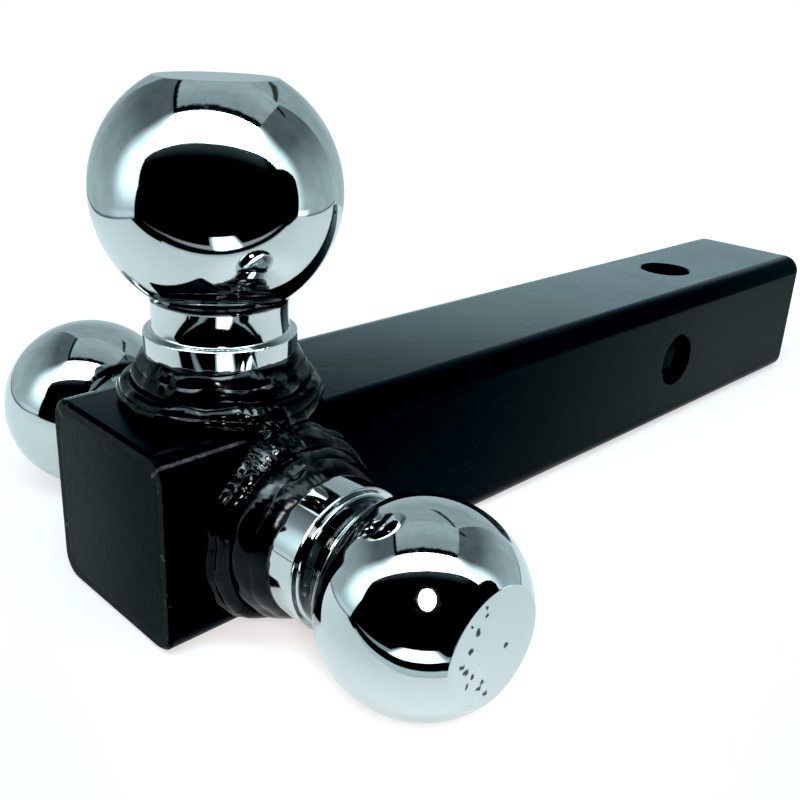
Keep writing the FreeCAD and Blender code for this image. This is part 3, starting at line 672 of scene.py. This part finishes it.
def bead(size, which, seed):
    """One weld pass round a ball's flange, with its stringers and ripples."""
    d = BALLS[size]
    rb = FLANGE[size]
    wt = d["weld_top"] - HALF
    rng = np.random.default_rng(seed)
    N, M = 640, 40
    th = np.linspace(0, 2 * np.pi, N, endpoint=False)
    s = np.linspace(0, 1, M)
    jx, jz = rb + (FOOT - rb) * 0.56, HALF + wt * 0.46
    mx, mz = rb + LEG * 0.56, HALF + LEG * 0.56
    ledge_r = jx + wave_noise(rng, th, (3, 5, 8, 13), 0.00024)
    ledge_h = jz + wave_noise(rng, th, (2, 4, 7, 11), 0.00042)
    if which == "lower":
        rt = FOOT + wave_noise(rng, th, (4, 7, 9, 14, 23), 0.00030) - 0.0001
        if size != "large":
            rt = np.minimum(rt, 0.02535)
        ht = tube_height(rt * np.sin(th)) - 0.00022
        p0 = np.stack([rt, ht], 1)
        p1 = np.stack([ledge_r, ledge_h], 1)
        bulge = (0.00175 if size == "large" else 0.00135) + wave_noise(rng, th, (3, 6, 10, 15), 0.00020)
        inner = [(mx, mz), (rb + LEG, HALF)]
    else:
        kt = HALF + wt + wave_noise(rng, th, (3, 5, 9, 12), 0.00030)
        p0 = np.stack([ledge_r - 0.00005, ledge_h - 0.0003], 1)
        p1 = np.stack([np.full(N, rb - 0.00012), kt], 1)
        bulge = 0.00062 + wave_noise(rng, th, (3, 5, 8, 13), 0.00014)
        inner = [(rb - 0.00012, HALF + LEG), (mx, mz)]
    pts, nn = arc_points(p0, p1, bulge, s)
    S = s[None, :]
    T = th[:, None]
    env = np.sin(np.pi * S) ** 0.5
    rad = 0.0225
    # two stringers side by side, with a soft valley between them
    split_at = (0.52 if which == "lower" else 0.50) + wave_noise(rng, th, (2, 5, 9), 0.05)[:, None]
    a = np.clip(S / split_at, 0, 1)
    b_ = np.clip((S - split_at) / (1 - split_at), 0, 1)
    first = S < split_at
    lobe = np.where(first, np.sin(np.pi * a), np.sin(np.pi * b_))
    local = np.where(first, 2 * a - 1, 2 * b_ - 1)
    depth = (0.00042 if which == "lower" else 0.00030) + wave_noise(rng, th, (4, 9, 14), 0.00008)[:, None]
    disp = -depth * (1 - np.clip(lobe, 0, 1) ** 0.75)
    # chevron ripples where the pool froze, strong only where two welds meet
    mid_at, wide_ = {"large": (80, 22), "small": (-66, 34), "medium": (66, 30)}[size]
    off = np.abs((np.degrees(th) - mid_at + 180) % 360 - 180)
    meet = np.clip((wide_ - off) / 16.0, 0, 1)[:, None]
    meet = meet * meet * (3 - 2 * meet) * (1.0 if which == "lower" else 0.12)
    pitch = 0.00185
    count = round(2 * np.pi * rad / pitch)
    jitter = wave_noise(rng, th, (3, 7, 12, 21), 0.9)[:, None]
    phase = count * T + 2.2 * local ** 2 + jitter + np.where(first, 0.0, 2.1)
    ripple = (0.5 + 0.5 * np.cos(phase)) ** 0.8 - 0.52
    patchy = np.clip(0.55 + wave_noise(rng, th, (2, 5, 9, 16), 0.45), 0.15, 1.2)[:, None]
    amp = (0.000045 if which == "lower" else 0.000020) * patchy + 0.00013 * meet
    disp = disp + amp * ripple * np.clip(lobe, 0, 1) ** 0.5
    r, h = pts[..., 0], pts[..., 1]

    def world(r_, h_):
        c, sn = np.cos(th)[:, None], np.sin(th)[:, None]
        o = np.array(d["centre"])
        return (o + (r_ * c)[..., None] * np.array(d["u"]) + (r_ * sn)[..., None] * np.array(d["v"])
                + h_[..., None] * np.array(d["axis"]))

    co = world(r, h)
    lo_f = lump(co, 105.0, seed)
    mid_f = lump(co, 270.0, seed + 5)
    hi_f = lump(co, 700.0, seed + 9)
    big = 0.00075 if which == "lower" else 0.00050
    # coarser lumps on the side that was welded last
    coarse = 0.0
    if size == "large":
        coarse = np.exp(-(((np.degrees(th) - 22 + 180) % 360 - 180) / 34.0) ** 2)[:, None]
    disp = disp + env * (big * lo_f + (0.00016 + 0.00034 * meet + 0.00030 * coarse) * mid_f
                         + (0.000005 + 0.00026 * meet + 0.00003 * coarse) * hi_f)
    pts = pts + nn * disp[..., None]
    r, h = pts[..., 0], pts[..., 1]
    outer_co = world(r, h)
    # hidden inner side, closing the ring
    cols = [outer_co]
    for ri, hi in inner:
        cols.append(world(np.full((N, 1), ri), np.full((N, 1), hi)))
    allco = np.concatenate(cols, 1)
    allco[..., 2] = np.maximum(allco[..., 2], FLOOR + 0.00001)
    K = allco.shape[1]
    faces = []
    for i in range(N):
        j = (i + 1) % N
        for k in range(K):
            l = (k + 1) % K
            faces.append((i * K + k, j * K + k, j * K + l, i * K + l))
    me = bpy.data.meshes.new("%s_weld_%s" % (size, which))
    me.from_pydata([tuple(c) for c in allco.reshape(-1, 3)], [], faces)
    me.update()
    bm = bmesh.new()
    bm.from_mesh(me)
    if bm.calc_volume(signed=True) < 0:
        bmesh.ops.reverse_faces(bm, faces=bm.faces)
    bm.to_mesh(me)
    bm.free()
    for poly in me.polygons:
        poly.use_smooth = True
    o = bpy.data.objects.new("%s_weld_%s" % (size, which), me)
    bpy.context.scene.collection.objects.link(o)
    me.materials.append(WELD)
    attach(o, "root")
    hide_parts("%s_ball_weld_%s_pass" % (size, which))
    return o


for i, size in enumerate(("large", "small", "medium")):
    bead(size, "lower", 11 + i)
    bead(size, "upper", 31 + i)

# ------------------------------------------------------------------ lights
def area(name, where, at, size_x, size_y, energy, spread=180.0, shown=False):
    ld = bpy.data.lights.new(name, "AREA")
    ld.shape = "ELLIPSE"
    ld.size, ld.size_y = size_x, size_y
    ld.energy = energy
    ld.spread = math.radians(spread)
    o = bpy.data.objects.new(name, ld)
    bpy.context.scene.collection.objects.link(o)
    o.location = where
    o.rotation_mode = "QUATERNION"
    o.rotation_quaternion = (Vector(at) - Vector(where)).to_track_quat("-Z", "Y")
    o.visible_camera = shown
    return o


spot = cam_dir * 0.348 + side_dir * -0.075 + Vector((0, 0, 0.132))
area("small_ball_spot", spot, Vector((BALLS["small"]["centre"].x, 0.0724, 0.0)), 0.058, 0.070, 0.030, 36.0)

strip = area("back_strip", cam_dir * -0.28 + side_dir * -0.06 + Vector((0, 0, 0.085)), cam_dir * 0.3 + side_dir * -0.06 + Vector((0, 0, 0.05)), 0.60, 0.17, 0.42, 180.0)
strip.data.shape = "RECTANGLE"
strip.data.color = (0.66, 1.0, 1.10)
only = bpy.data.collections.new("lit_by_back_strip")
only.objects.link(nodes["shank_tube"])
strip.light_linking.receiver_collection = only
# soft fills from behind, so that the bar's far side and open end also read
for name, where, energy in (("far_side_fill", cam_dir * -0.30 + side_dir * -0.40 + Vector((0, 0, 0.10)), 2.6),
                            ("open_end_fill", cam_dir * -0.34 + side_dir * 0.34 + Vector((0, 0, 0.10)), 2.0)):
    fill = area(name, where, Vector((0.03, 0.0, 0.0)), 0.40, 0.16, energy, 180.0)
    fill.data.shape = "RECTANGLE"
    fill.data.color = (0.80, 1.0, 1.05)
    fill.light_linking.receiver_collection = only

vs = bpy.context.scene.view_settings
vs.view_transform = "Standard"
# deep blacks, as a product picture has
vs.use_curve_mapping = True
vs.curve_mapping.black_level = (0.0085, 0.0085, 0.0085)
vs.curve_mapping.update()
